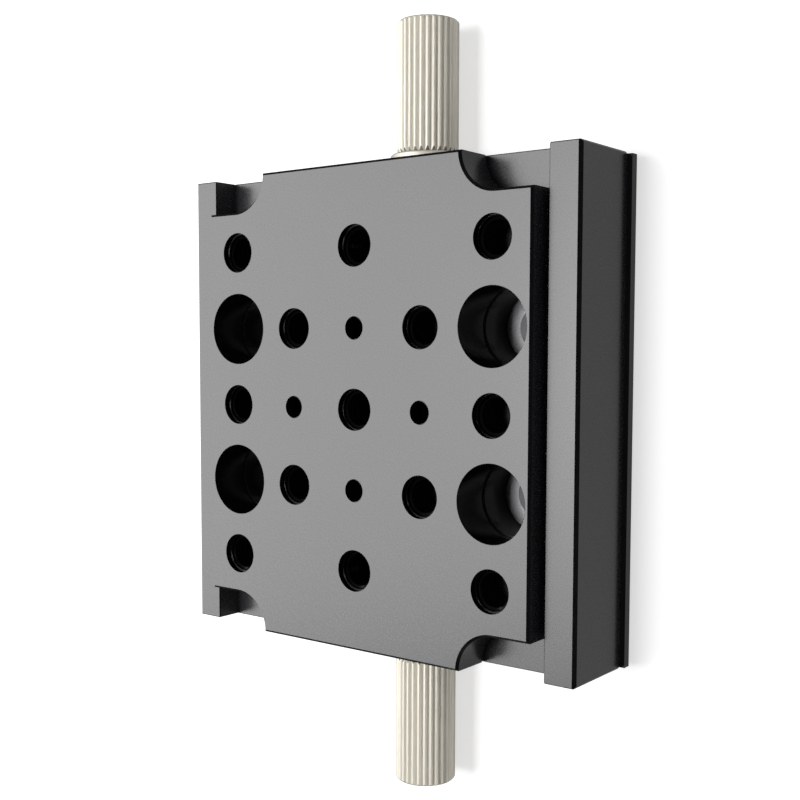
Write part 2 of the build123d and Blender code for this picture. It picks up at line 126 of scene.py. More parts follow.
class StageThreads(bpy.types.PropertyGroup):
    m6_pitch: bpy.props.FloatProperty(
        name="M6 pitch",
        description="Rise of one turn in the carriage's large tapped holes",
        unit="LENGTH",
        default=1.0 * MM,
    )
    small_pitch: bpy.props.FloatProperty(
        name="M4 pitch",
        description="Rise of one turn in the carriage's small tapped holes",
        unit="LENGTH",
        default=0.7 * MM,
    )
    lead: bpy.props.FloatProperty(
        name="Lead",
        description="Travel of the carriage for one turn of the lead screw",
        unit="LENGTH",
        default=1.0 * MM,
    )
    steps: bpy.props.IntProperty(
        name="Steps a turn",
        description="Straight pieces in one turn of a thread",
        min=8,
        max=96,
        default=32,
    )


class StageKnobs(bpy.types.PropertyGroup):
    flutes: bpy.props.IntProperty(
        name="Flutes",
        description="Grooves around a knob",
        min=3,
        max=120,
        default=30,
    )
    depth: bpy.props.FloatProperty(
        name="Flute depth",
        description="From the crest of a rib to the bottom of a groove",
        unit="LENGTH",
        default=0.42 * MM,
    )


class StageStudio(bpy.types.PropertyGroup):
    key_power: bpy.props.FloatProperty(
        name="Key light",
        description="Power of the large softbox that the carriage's face reflects",
        unit="POWER",
        default=2.85,
    )
    key_width: bpy.props.FloatProperty(
        name="Softbox width",
        description="Size of the softbox along the travel",
        unit="LENGTH",
        default=0.5,
    )
    key_height: bpy.props.FloatProperty(
        name="Softbox height",
        description="Size of the softbox from its low edge to its high edge",
        unit="LENGTH",
        default=0.5,
    )
    top_power: bpy.props.FloatProperty(
        name="Top light",
        description="Power of the softbox overhead, which reaches down into the holes",
        unit="POWER",
        default=3.2,
    )
    top_size: bpy.props.FloatProperty(
        name="Top softbox side",
        description="Width and length of the softbox overhead",
        unit="LENGTH",
        default=0.2,
    )
    surround: bpy.props.FloatProperty(
        name="Room light",
        description="Strength of the even light from all round",
        default=0.3,
    )


# Finishes
def empty_tree(owner):
    """The node tree of a new material or world, with nothing in it."""
    owner.use_nodes = True
    owner.node_tree.nodes.clear()
    return owner.node_tree


def metal_finish(name, dark, light, grain, cloud, roughness, bump, metallic=1.0, ior=1.5):
    """A metal surface: two tones in slow clouds, and a grain that moves its roughness and its height.

    grain and cloud are the sizes of the two patterns along X, Y and Z, and bump is the height of the grain,
    all in millimetres. A metal keeps the shader's own IOR, 1.5.
    """
    material = bpy.data.materials.new(name)
    tree = empty_tree(material)
    place = add(tree, "ShaderNodeTexCoord").outputs["Object"]
    patterns = []
    for sizes, detail in ((grain, 2.0), (cloud, 3.0)):
        scale = tuple(1 / (size * MM) for size in sizes)
        scaled = add(tree, "ShaderNodeMapping", {"Scale": scale}, {"Vector": place}).outputs["Vector"]
        noise = add(tree, "ShaderNodeTexNoise", {"Scale": 1.0, "Detail": detail}, {"Vector": scaled})
        patterns.append(noise)
    grains, clouds = patterns
    # the sum of the grain and half the clouds lies mostly between the tones' two positions
    mixed = add(tree, "ShaderNodeMath", {1: 0.5}, {0: clouds, 2: grains}, operation="MULTIPLY_ADD")
    tone = add(tree, "ShaderNodeValToRGB", links={"Fac": mixed})
    for stop, position, colour in zip(tone.color_ramp.elements, (0.55, 0.95), (dark, light)):
        stop.position = position
        stop.color = colour
    # the grain alone lies mostly between 0.3 and 0.7
    gloss = add(
        tree,
        "ShaderNodeMapRange",
        {"From Min": 0.3, "From Max": 0.7, "To Min": roughness[0], "To Max": roughness[1]},
        {"Value": grains},
    )
    relief = add(tree, "ShaderNodeBump", {"Strength": 1.0, "Distance": bump * MM}, {"Height": grains})
    surface = add(
        tree,
        "ShaderNodeBsdfPrincipled",
        {"Metallic": metallic, "IOR": ior},
        {"Base Color": tone, "Roughness": gloss, "Normal": relief},
    )
    add(tree, "ShaderNodeOutputMaterial", links={"Surface": surface})
    return material


def scaled_tone(colour, share):
    """The same colour at another brightness."""
    return tuple(c * share for c in colour[:3]) + (1.0,)


def anodised_aluminium():
    """Anodised aluminium: milled, blasted and dyed black. The oxide is a clear, dyed layer, so it shines
    as a dielectric does: black where nothing bright stands opposite, grey where it mirrors a lamp."""
    finishes = bpy.context.scene.stage_finishes
    return metal_finish(
        "anodised_aluminium",
        dark=scaled_tone(finishes.anodise, 0.85),
        light=scaled_tone(finishes.anodise, 1.15),
        # blasting leaves pits of 0.1 to 0.2 mm, drawn twice as coarse so that they show
        grain=(0.35, 0.35, 0.35),
        cloud=(9.0, 9.0, 9.0),
        roughness=(finishes.anodise_roughness - 0.02, finishes.anodise_roughness + 0.02),
        bump=0.0003,
        metallic=0.0,
        ior=1.76,
    )


def cut_aluminium_shaded():
    """Anodised aluminium that was drilled, tapped or chamfered and not blasted. It is drawn near black and
    mirrors little, which is painted shade, so that holes, threads and broken edges look black."""
    finishes = bpy.context.scene.stage_finishes
    return metal_finish(
        "anodised_cut_painted_shade",
        # painted shade: a sixth to a quarter of the anodise's tone, and a low IOR below
        dark=scaled_tone(finishes.anodise, 0.15),
        light=scaled_tone(finishes.anodise, 0.25),
        # rings of the drill and the tap, 0.1 mm apart, drawn 0.2 mm apart
        grain=(1.5, 1.5, 0.2),
        cloud=(3.0, 3.0, 3.0),
        roughness=(0.16, 0.22),
        bump=0.0003,
        metallic=0.0,
        ior=1.2,
    )


def plate_aluminium_shaded():
    """Anodised aluminium of the bottom plate: rolled sheet, dyed without blasting, flatter. Its darker tones
    and lower IOR are painted shade, for the plate low by the table in the stage's shadow.
    """
    finishes = bpy.context.scene.stage_finishes
    return metal_finish(
        "anodised_plate_painted_shade",
        # painted shade: 0.6 to 0.85 of the anodise's tone
        dark=scaled_tone(finishes.anodise, 0.6),
        light=scaled_tone(finishes.anodise, 0.85),
        # streaks of the rolling, 0.1 mm wide, drawn 0.3 mm wide
        grain=(0.3, 5.0, 0.3),
        cloud=(9.0, 18.0, 9.0),
        roughness=(finishes.anodise_roughness, finishes.anodise_roughness + 0.04),
        bump=0.0003,
        metallic=0.0,
        ior=1.45,
    )


def satin_nickel():
    """Nickel plate over turned and blasted aluminium: a warm pale metal with a soft wide gloss."""
    finishes = bpy.context.scene.stage_finishes
    return metal_finish(
        "satin_nickel_plate",
        dark=scaled_tone(finishes.knob, 0.94),
        light=finishes.knob,
        # blasting pits, drawn coarser than their 0.1 mm
        grain=(0.25, 0.25, 0.25),
        cloud=(4.0, 4.0, 4.0),
        roughness=(finishes.knob_roughness - 0.05, finishes.knob_roughness + 0.05),
        bump=0.003,
    )


def run_out_nickel_shaded():
    """Nickel plate in the run-out of the flutes beside the flange, turned and not blasted. It is drawn at a
    third of the knob's tone: painted shade, where the turned slope turns its back to the light between the
    ribs."""
    finishes = bpy.context.scene.stage_finishes
    return metal_finish(
        "run_out_painted_shade_nickel",
        # painted shade: 0.3 to 0.4 of the knob's tone
        dark=scaled_tone(finishes.knob, 0.3),
        light=scaled_tone(finishes.knob, 0.4),
        # turning marks of 0.05 mm, drawn 0.15 mm wide
        grain=(1.5, 0.15, 1.5),
        cloud=(4.0, 4.0, 4.0),
        roughness=(0.4, 0.5),
        bump=0.001,
    )


# the finishes above, which follow the user's colours
COATINGS = {
    "anodised_aluminium": anodised_aluminium,
    "anodised_cut_painted_shade": cut_aluminium_shaded,
    "anodised_plate_painted_shade": plate_aluminium_shaded,
    "satin_nickel_plate": satin_nickel,
    "run_out_painted_shade_nickel": run_out_nickel_shaded,
}

# the other metals as (dark tone, light tone, grain, cloud, roughness, bump), as metal_finish takes them
METALS = {
    # Floors of the head bores and the holes under them, drawn pale and matt: painted light, for the lit patch
    # deep in the holes. The cutter's marks, 0.1 mm wide, are drawn as spots of 0.3 mm.
    "bore_floor_painted_light": ("C9C9CB", "E6E6E8", (0.3, 0.3, 0.3), (3.0, 3.0, 3.0), (0.5, 0.62), 0.002),
    # Hardened steel, ground along its length: fine straight scratches that stretch every highlight. The
    # scratches, 0.05 mm wide, are drawn 0.12 mm wide and some 6 mm long.
    "ground_steel": ("A3A4A6", "C9C9CA", (0.12, 6.0, 0.12), (3.0, 12.0, 3.0), (0.2, 0.34), 0.002),
    # Bearing steel of the rollers, lapped: almost a mirror, with a faint haze. The haze is drawn in spots
    # of 0.1 mm, because the lapping's own are too fine to show.
    "lapped_steel": ("BFC0C2", "D6D6D6", (0.1, 0.1, 0.1), (0.8, 0.8, 0.8), (0.1, 0.16), 0.0004),
    # Rolled and turned steel of the lead screw: bright, with a grain around its axis. The turning marks,
    # 0.05 mm wide, are drawn 0.1 mm wide.
    "rolled_thread_steel": ("96979A", "BDBDBE", (1.2, 0.1, 1.2), (2.5, 5.0, 2.5), (0.24, 0.36), 0.001),
    # Drawn spring wire: grey, fairly bright, streaked by the die. The streaks, some 0.03 mm wide, are drawn
    # 0.15 mm wide.
    "spring_steel": ("77787B", "A2A2A3", (0.15, 0.4, 0.15), (1.5, 1.5, 1.5), (0.28, 0.4), 0.001),
    # Bearing bronze of the nuts and bushes, turned and milled: brown gold with a satin cut surface. The
    # cutter's marks, 0.05 mm wide, are drawn 0.12 mm wide.
    "bearing_bronze": ("9C7643", "C39A5E", (0.5, 0.12, 0.5), (4.0, 4.0, 4.0), (0.3, 0.42), 0.002),
    # Brass strip of the roller cages, rolled along its length and punched: yellow with straight streaks.
    # The streaks, 0.04 mm wide, are drawn 0.1 mm wide.
    "rolled_brass_strip": ("B9974F", "DCBF7A", (0.1, 4.0, 0.1), (3.0, 6.0, 3.0), (0.24, 0.34), 0.001),
    # Alloy steel of the screws, blackened in a hot salt bath: blue black with a thin oily gloss. Its fine
    # crystals are drawn as spots of 0.15 mm.
    "black_oxide_steel": ("2A2A2D", "45454A", (0.15, 0.15, 0.15), (1.2, 1.2, 1.2), (0.3, 0.42), 0.002),
}


def finish(name):
    """The material of that name, made when it is first asked for."""
    made = bpy.data.materials.get(name)
    if made:
        return made
    if name in COATINGS:
        return COATINGS[name]()
    dark, light, *surface = METALS[name]
    return metal_finish(name, linear(dark), linear(light), *surface)


def dress(nodes, name):
    """Gives CAD nodes a finish."""
    for node in nodes:
        for slot in NODES[node].material_slots:
            slot.material = finish(name)


# Tools of the pieces

# in a copy of a CAD node, points this near are one, in metres, and faces this level are one flat
SAME_POINT = 1e-7
SAME_FLAT = math.radians(0.05)

# for the tests that pick faces, in millimetres: how near counts as at a surface, and how far chamfers
# reach down from the top face
NEAR = 0.1
CHAMFER_REACH = 0.6
# how far up the normals of chamfers point, from least to most, and those of level faces at least
CHAMFER_UP = (0.5, 0.9)
LEVEL_UP = 0.99


def new_piece(name, mesh, finish_name):
    """An object with this mesh and finish, in the scene."""
    mesh.materials.clear()
    mesh.materials.append(finish(finish_name))
    piece = bpy.data.objects.new(name, mesh)
    bpy.context.scene.collection.objects.link(piece)
    return piece


def merged_copy(node, name, finish_name):
    """A piece with a copy of a CAD node's mesh, its loose triangles joined and its flats made whole."""
    bm = bmesh.new()
    bm.from_mesh(NODES[node].data)
    bmesh.ops.remove_doubles(bm, verts=bm.verts, dist=SAME_POINT)
    bmesh.ops.dissolve_limit(bm, angle_limit=SAME_FLAT, verts=bm.verts, edges=bm.edges)
    mesh = bpy.data.meshes.new(name)
    bm.to_mesh(mesh)
    bm.free()
    # the solid's own normals and UV map don't fit a mesh that is cut afterwards
    for attribute in [a.name for a in mesh.attributes if a.name in ("custom_normal", "UVMap")]:
        mesh.attributes.remove(mesh.attributes[attribute])
    return new_piece(name, mesh, finish_name)


def start_group(name, sockets):
    """A Geometry Nodes tree with a geometry in and out, and the named inputs given as (kind, default)."""
    tree = bpy.data.node_groups.new(name, "GeometryNodeTree")
    tree.interface.new_socket("Geometry", in_out="INPUT", socket_type="NodeSocketGeometry")
    tree.interface.new_socket("Geometry", in_out="OUTPUT", socket_type="NodeSocketGeometry")
    for label, (kind, default) in sockets.items():
        socket = tree.interface.new_socket(label, in_out="INPUT", socket_type="NodeSocket" + kind)
        if default is not None:
            socket.default_value = default
    return tree, add(tree, "NodeGroupInput").outputs


def end_group(tree, given, body, cutter):
    """Ends a tree: the body less the cutter, then Realize Instances and Set Material."""
    cut = add(
        tree,
        "GeometryNodeMeshBoolean",
        links={"Mesh 1": body, "Mesh 2": cutter},
        operation="DIFFERENCE",
        solver="MANIFOLD",
    )
    real = add(tree, "GeometryNodeRealizeInstances", links={"Geometry": cut})
    dressed = add(tree, "GeometryNodeSetMaterial", links={"Geometry": real, "Material": given["Material"]})
    add(tree, "NodeGroupOutput", links={"Geometry": dressed})
    return tree


def apply_group(piece, tree, values):
    """Runs a tree on a piece with these inputs and keeps the result as the piece's plain mesh."""
    modifier = piece.modifiers.new(tree.name, "NODES")
    modifier.node_group = tree
    for item in tree.interface.items_tree:
        if item.item_type == "SOCKET" and item.in_out == "INPUT" and item.name in values:
            modifier[item.identifier] = values[item.name]
    piece.update_tag()
    bpy.context.view_layer.update()
    evaluated = piece.evaluated_get(bpy.context.evaluated_depsgraph_get())
    mesh = bpy.data.meshes.new_from_object(evaluated)
    piece.modifiers.remove(modifier)
    old = piece.data
    piece.data = mesh
    bpy.data.meshes.remove(old)
    if not mesh.polygons:
        raise RuntimeError(f"{tree.name} left nothing of {piece.name}")


def finish_faces(piece, name, inside):
    """Gives a finish to the faces of a piece whose centre and normal pass a test."""
    slot = len(piece.data.materials)
    piece.data.materials.append(finish(name))
    found = [face for face in piece.data.polygons if inside(face.center / MM, face.normal)]
    for face in found:
        face.material_index = slot
    if not found:
        raise RuntimeError(f"{piece.name} has no face for {name}")


def on_chamfer(place, normal, top):
    """Whether a face slopes as a chamfer does, and lies no further under the top than one reaches."""
    return CHAMFER_UP[0] < normal.z < CHAMFER_UP[1] and place.z > top - CHAMFER_REACH


def shade_by_angle(piece, degrees=30.0):
    """Smooth shading, with every edge that turns by more than the angle kept sharp."""
    piece.data.shade_smooth()
    piece.data.set_sharp_from_angle(angle=math.radians(degrees))


# widths of a thread's groove at its mouth and at its root, as shares of the pitch
GROOVE_MOUTH = 0.86
GROOVE_ROOT = 0.13

# inputs that the trees for a grid of holes share
GRID = {
    "Columns": ("Int", 1),
    "Rows": ("Int", 1),
    "Column spacing": ("Vector", None),
    "Row spacing": ("Vector", None),
    "Turned": ("Rotation", None),
}


def on_grid(tree, given, cutter, first):
    """Copies of a cutter on the grid that the tree's inputs describe, the first of them at that place."""
    columns = add(
        tree, "GeometryNodeMeshLine", links={"Count": given["Columns"], "Offset": given["Column spacing"]}
    )
    rows = add(tree, "GeometryNodeMeshLine", links={"Count": given["Rows"], "Offset": given["Row spacing"]})
    grid = add(tree, "GeometryNodeInstanceOnPoints", links={"Points": columns, "Instance": rows})
    grid = add(tree, "GeometryNodeRealizeInstances", links={"Geometry": grid})
    copies = add(
        tree,
        "GeometryNodeInstanceOnPoints",
        links={"Points": grid, "Instance": cutter, "Rotation": given["Turned"]},
    )
    placed = add(tree, "GeometryNodeTransform", links={"Geometry": copies, "Translation": first})
    return add(tree, "GeometryNodeRealizeInstances", links={"Geometry": placed})


def mouth_group():
    """Countersinks a grid of bores: broken edges, and the cones that lead screws into their threads."""
    tree, given = start_group(
        "Countersink bores",
        {
            **GRID,
            "First mouth": ("Vector", None),
            "Mouth radius": ("Float", 3.0 * MM),
            "Bottom radius": ("Float", 2.4 * MM),
            "Depth": ("Float", 0.5 * MM),
            "Sides": ("Int", 64),
            "Material": ("Material", None),
        },
    )
    # the cone is made upwards from its bottom, and then set down by its depth
    cone = add(
        tree,
        "GeometryNodeMeshCone",
        links={
            "Vertices": given["Sides"],
            "Radius Top": given["Mouth radius"],
            "Radius Bottom": given["Bottom radius"],
            "Depth": given["Depth"],
        },
    )
    drop = add(tree, "ShaderNodeMath", {1: -1.0}, {0: given["Depth"]}, operation="MULTIPLY")
    drop = add(tree, "ShaderNodeCombineXYZ", links={"Z": drop})
    cone = add(tree, "GeometryNodeTransform", links={"Geometry": cone, "Translation": drop})
    cones = on_grid(tree, given, cone, given["First mouth"])
    return end_group(tree, given, given["Geometry"], cones)


def thread_group():
    """Cuts a helical groove, or a grid of them, into a mesh: a tapped thread or a screw's own thread."""
    tree, given = start_group(
        "Cut threads",
        {
            **GRID,
            "First thread": ("Vector", None),
            "Pitch": ("Float", 1.0 * MM),
            "Turns": ("Float", 5.0),
            "Steps a turn": ("Int", 32),
            "Inner radius": ("Float", 2.4 * MM),
            "Outer radius": ("Float", 3.0 * MM),
            "Inner width": ("Float", 0.8 * MM),
            "Outer width": ("Float", 0.1 * MM),
            "Material": ("Material", None),
        },
    )
    rise = add(tree, "ShaderNodeMath", links={0: given["Pitch"], 1: given["Turns"]}, operation="MULTIPLY")
    middle = add(
        tree, "ShaderNodeMath", links={0: given["Inner radius"], 1: given["Outer radius"]}, operation="ADD"
    )
    middle = add(tree, "ShaderNodeMath", {1: 0.5}, {0: middle}, operation="MULTIPLY")
    height = add(
        tree,
        "ShaderNodeMath",
        links={0: given["Outer radius"], 1: given["Inner radius"]},
        operation="SUBTRACT",
    )
    # reversed, Blender's spiral turns to the left as it rises: a right-hand thread
    helix = add(
        tree,
        "GeometryNodeCurveSpiral",
        {"Reverse": True},
        {
            "Resolution": given["Steps a turn"],
            "Rotations": given["Turns"],
            "Start Radius": middle,
            "End Radius": middle,
            "Height": rise,
        },
    )
    upright = add(tree, "GeometryNodeSetCurveNormal", links={"Curve": helix}, mode="Z_UP")
    tooth = add(
        tree,
        "GeometryNodeCurvePrimitiveQuadrilateral",
        {"Offset": 0.0},
        {"Height": height, "Bottom Width": given["Inner width"], "Top Width": given["Outer width"]},
        mode="TRAPEZOID",
    )
    tooth = add(
        tree, "GeometryNodeTransform", {"Rotation": (0.0, 0.0, math.radians(90.0))}, {"Geometry": tooth}
    )
    groove = add(
        tree, "GeometryNodeCurveToMesh", {"Fill Caps": True}, {"Curve": upright, "Profile Curve": tooth}
    )
    grooves = on_grid(tree, given, groove, given["First thread"])
    return end_group(tree, given, given["Geometry"], grooves)


def flute_group():
    """Mills grooves along a turned blank, down from its crest radius, and drills the set screw's hole."""
    tree, given = start_group(
        "Flute a knob",
        {
            "Axis": ("Vector", None),
            "Flutes": ("Int", 30),
            "Depth": ("Float", 0.42 * MM),
            "Screw hole": ("Vector", None),
            "Screw hole turned": ("Rotation", None),
            "Screw hole radius": ("Float", 1.27 * MM),
            "Screw hole length": ("Float", 8.0 * MM),
            "Material": ("Material", None),
        },
    )
    place = add(tree, "GeometryNodeInputPosition")
    arm = add(tree, "ShaderNodeVectorMath", links={0: place, 1: given["Axis"]}, operation="SUBTRACT")
    arm = add(tree, "ShaderNodeVectorMath", {1: (1.0, 0.0, 1.0)}, {0: arm}, operation="MULTIPLY")
    parts = add(tree, "ShaderNodeSeparateXYZ", links={"Vector": arm}).outputs
    angle = add(tree, "ShaderNodeMath", links={0: parts["Z"], 1: parts["X"]}, operation="ARCTAN2")
    turns = add(tree, "ShaderNodeMath", links={0: angle, 1: given["Flutes"]}, operation="MULTIPLY")
    # a folded sine: round ribs between grooves with a sharp bottom
    half = add(tree, "ShaderNodeMath", {1: 0.5}, {0: turns}, operation="MULTIPLY")
    wave = add(tree, "ShaderNodeMath", links={0: half}, operation="SINE")
    rib = add(tree, "ShaderNodeMath", links={0: wave}, operation="ABSOLUTE")
    groove = add(tree, "ShaderNodeMath", {0: 1.0}, {1: rib}, operation="SUBTRACT")
    deep = add(tree, "ShaderNodeMath", links={0: groove, 1: given["Depth"]}, operation="MULTIPLY")
    # the ribbed radius, or the turned blank's own where that is smaller, at the neck and the end
    crest = add(tree, "GeometryNodeInputNamedAttribute", {"Name": "crest_radius"}, data_type="FLOAT")
    ribbed = add(tree, "ShaderNodeMath", links={0: crest, 1: deep}, operation="SUBTRACT")
    blank = add(tree, "ShaderNodeVectorMath", links={0: arm}, operation="LENGTH").outputs["Value"]
    radius = add(tree, "ShaderNodeMath", links={0: ribbed, 1: blank}, operation="MINIMUM")
    change = add(tree, "ShaderNodeMath", links={0: radius, 1: blank}, operation="SUBTRACT")
    outward = add(tree, "ShaderNodeVectorMath", links={0: arm}, operation="NORMALIZE")
    move = add(tree, "ShaderNodeVectorMath", links={0: outward, "Scale": change}, operation="SCALE")
    fluted = add(
        tree,
        "GeometryNodeSetPosition",
        links={"Geometry": given["Geometry"], "Selection": crest.outputs["Exists"], "Offset": move},
    )
    drill = add(
        tree,
        "GeometryNodeMeshCylinder",
        {"Vertices": 48},
        {"Radius": given["Screw hole radius"], "Depth": given["Screw hole length"]},
    )
    drill = add(
        tree,
        "GeometryNodeTransform",
        links={"Geometry": drill, "Translation": given["Screw hole"], "Rotation": given["Screw hole turned"]},
    )
    return end_group(tree, given, fluted, drill)


# Operators: the studio, then one for each group of like pieces
class STAGE_OT_studio(bpy.types.Operator):
    """Sets up the floor, the lights, the surroundings and the camera"""

    bl_idname = "linear_stage.studio"
    bl_label = "Studio"

    def execute(self, context):
        scene = context.scene
        studio = scene.stage_studio
        scene.view_settings.view_transform = "Standard"

        bm = bmesh.new()
        bmesh.ops.create_grid(bm, x_segments=1, y_segments=1, size=3.0)
        mesh = bpy.data.meshes.new("floor")
        bm.to_mesh(mesh)
        bm.free()
        # a hair under the table plane, so that it doesn't share that plane with the stage
        mesh.transform(Matrix.Translation((0.0, 0.0, -0.02 * MM)))
        floor = bpy.data.objects.new("floor", mesh)
        scene.collection.objects.link(floor)
        mesh.materials.append(floor_paint())

        # the carriage's face mirrors the first one towards the camera
        key = (studio.key_width, studio.key_height)
        top = (studio.top_size, studio.top_size)
        self.softbox("softbox_key", (-0.36, 0.02, 0.43), key, studio.key_power)
        self.softbox("softbox_top", (-0.12, 0.0, 0.78), top, studio.top_power)

        self.light_room(scene, studio)

        # fitted to the places of the carriage's holes in the photograph, for an image of 800 x 800
        camera = bpy.data.objects.new("camera", bpy.data.cameras.new("camera"))
        camera.location = (0.114609, 0.009769, 0.155046)
        camera.rotation_euler = (math.radians(-3.950336), math.radians(37.389657), math.radians(0.196385))
        camera.data.sensor_width = 36.0
        camera.data.lens = 52.4528
        camera.data.shift_x = -0.00669125
        camera.data.shift_y = 0.03618375
        camera.data.clip_start = 0.005
        scene.collection.objects.link(camera)
        scene.camera = camera
        return {"FINISHED"}

    def softbox(self, name, place, size, power):
        """A rectangular lamp that faces the stage."""
        light = bpy.data.lights.new(name, "AREA")
        light.shape = "RECTANGLE"
        light.size, light.size_y = size
        light.energy = power
        lamp = bpy.data.objects.new(name, light)
        lamp.location = place
        lamp.rotation_euler = (-lamp.location).to_track_quat("-Z", "Y").to_euler()
        bpy.context.scene.collection.objects.link(lamp)

    def light_room(self, scene, studio):
        """Even light for dull surfaces. Shiny and clear ones see a room with a dim ceiling, whose walls are
        bright on the right and dim on the left."""
        scene.world = bpy.data.worlds.new("room")
        tree = empty_tree(scene.world)
        direction = add(tree, "ShaderNodeTexCoord").outputs["Generated"]
        toward = add(tree, "ShaderNodeSeparateXYZ", links={"Vector": direction}).outputs
        # the walls fade into the ceiling from 6 to 30 degrees above the table
        walls = add(
            tree,
            "ShaderNodeMapRange",
            {"From Min": 0.1, "From Max": 0.5, "To Min": 1.0, "To Max": 0.08},
            {"Value": toward["Z"]},
            interpolation_type="SMOOTHSTEP",
        )
        right = add(
            tree,
            "ShaderNodeMapRange",
            {"From Min": 0.0, "From Max": 0.6, "To Min": 0.12, "To Max": 1.9},
            {"Value": toward["X"]},
            interpolation_type="SMOOTHSTEP",
        )
        walls = add(tree, "ShaderNodeMath", links={0: walls, 1: right}, operation="MULTIPLY")
        camera_ray, shiny_ray = ray_kinds(tree)
        seen = add(tree, "ShaderNodeMix", {"A": studio.surround}, {"Factor": shiny_ray, "B": walls})
        strength = add(tree, "ShaderNodeMix", {"B": 1.0}, {"Factor": camera_ray, "A": seen})
        room = add(tree, "ShaderNodeBackground", {"Color": WHITE}, {"Strength": strength})
        add(tree, "ShaderNodeOutputWorld", links={"Surface": room})


def ray_kinds(tree):
    """What tells the camera's rays, and the rays by which shiny and clear surfaces see the room."""
    path = add(tree, "ShaderNodeLightPath").outputs
    shiny = add(
        tree,
        "ShaderNodeMath",
        links={0: path["Is Glossy Ray"], 1: path["Is Transmission Ray"]},
        operation="ADD",
        use_clamp=True,
    )
    return path["Is Camera Ray"], shiny


def floor_paint():
    """Matt white paint. The camera sees it lifted to white and its shadows stay. Shiny pieces see a painted
    reflection instead, a glow that is light on the right and dim on the left."""
    material = bpy.data.materials.new("matt_white_paint")
    tree = empty_tree(material)
    camera_ray, shiny_ray = ray_kinds(tree)
    paint = add(tree, "ShaderNodeBsdfDiffuse", {"Color": linear("C4C4C4")})
    place = add(tree, "ShaderNodeNewGeometry").outputs["Position"]
    away = add(tree, "ShaderNodeVectorMath", links={0: place}, operation="LENGTH")
    # the lamps reach less far than the floor does, so the lift makes up for them out there
    lift = add(
        tree,
        "ShaderNodeMapRange",
        {"From Min": 0.15, "From Max": 0.7, "To Min": 0.6, "To Max": 0.86},
        {"Value": away.outputs["Value"]},
    )
    lift = add(tree, "ShaderNodeMath", links={0: lift, 1: camera_ray}, operation="MULTIPLY")
    glow = add(tree, "ShaderNodeEmission", {"Color": WHITE}, {"Strength": lift})
    plain = add(tree, "ShaderNodeAddShader", links={0: paint, 1: glow})
    across = add(tree, "ShaderNodeSeparateXYZ", links={"Vector": place})
    # painted reflection, for shiny pieces only: from dim to light under the width of the stage
    level = add(
        tree,
        "ShaderNodeMapRange",
        {"From Min": -0.04, "From Max": 0.05, "To Min": 0.1, "To Max": 0.42},
        {"Value": across.outputs["X"]},
    )
    mirrored = add(tree, "ShaderNodeEmission", {"Color": WHITE}, {"Strength": level})
    both = add(tree, "ShaderNodeMixShader", links={0: shiny_ray, 1: plain, 2: mirrored})
    add(tree, "ShaderNodeOutputMaterial", links={"Surface": both})
    return material


class STAGE_OT_base(bpy.types.Operator):
    """Breaks the base's edges, finishes it and the bottom plate, and paints the floors of the head bores pale
    as painted light
    """

    bl_idname = "linear_stage.base"
    bl_label = "Base and bottom plate"

    # the solids' places and radii of the mounting holes, and heights, in millimetres
    hole_x, hole_y, hole_radius, head_radius = 25.0, 12.5, 3.3, 5.5
    deck, head_floor, lip_top = 11.1, 5.1, 15.5
    # how much is broken off an edge, how long such an edge is at least, and how far it may be under the deck
    edge_break, edge_length, edge_dip = 0.15, 4.0, 0.01
    # a little less than the right angle at which the faces beside such an edge meet
    edge_turn = math.radians(80.0)

    def execute(self, context):
        # painted shade: the bottom plate is drawn darker than the base
        dress(("bottom_plate",), "anodised_plate_painted_shade")
        piece = merged_copy("base_body", "base_body_bored", "anodised_aluminium")
        bm = bmesh.new()
        bm.from_mesh(piece.data)
        edges = [edge for edge in bm.edges if self.to_break(edge)]
        bmesh.ops.bevel(bm, geom=edges, offset=self.edge_break * MM, segments=1, affect="EDGES")
        bm.to_mesh(piece.data)
        bm.free()
        # painted shade on the lips' chamfers and the head bores' walls
        finish_faces(piece, "anodised_cut_painted_shade", self.is_cut_and_shaded)
        # painted light: the floors of the head bores and the holes under them are drawn pale
        finish_faces(piece, "bore_floor_painted_light", self.on_head_floor)
        shade_by_angle(piece)
        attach(piece, "base")
        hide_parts("base_body")
        return {"FINISHED"}

    def to_break(self, edge):
        """A long outer edge between two square faces, at the deck or above."""
        low = min(vert.co.z for vert in edge.verts)
        if not edge.is_manifold or low < (self.deck - self.edge_dip) * MM:
            return False
        return edge.calc_length() >= self.edge_length * MM and edge.calc_face_angle_signed() > self.edge_turn

    def from_hole(self, place):
        """Distance from the axis of the nearest mounting hole."""
        return math.hypot(abs(place.x) - self.hole_x, abs(place.y) - self.hole_y)

    def is_cut_and_shaded(self, place, normal):
        """Whether this is a face of a lip's chamfer or of a head bore, which get the painted shade."""
        return on_chamfer(place, normal, self.lip_top) or self.in_head_bore(place)

    def in_head_bore(self, place):
        """Whether this place is in a head bore, at its wall, or below."""
        return self.from_hole(place) < self.head_radius + NEAR and place.z < self.deck - NEAR

    def on_head_floor(self, place, normal):
        """Whether this is a face of a head bore's floor or of the hole under it."""
        if self.from_hole(place) < self.hole_radius + NEAR:
            return place.z < self.head_floor + NEAR
        return self.in_head_bore(place) and abs(place.z - self.head_floor) < NEAR


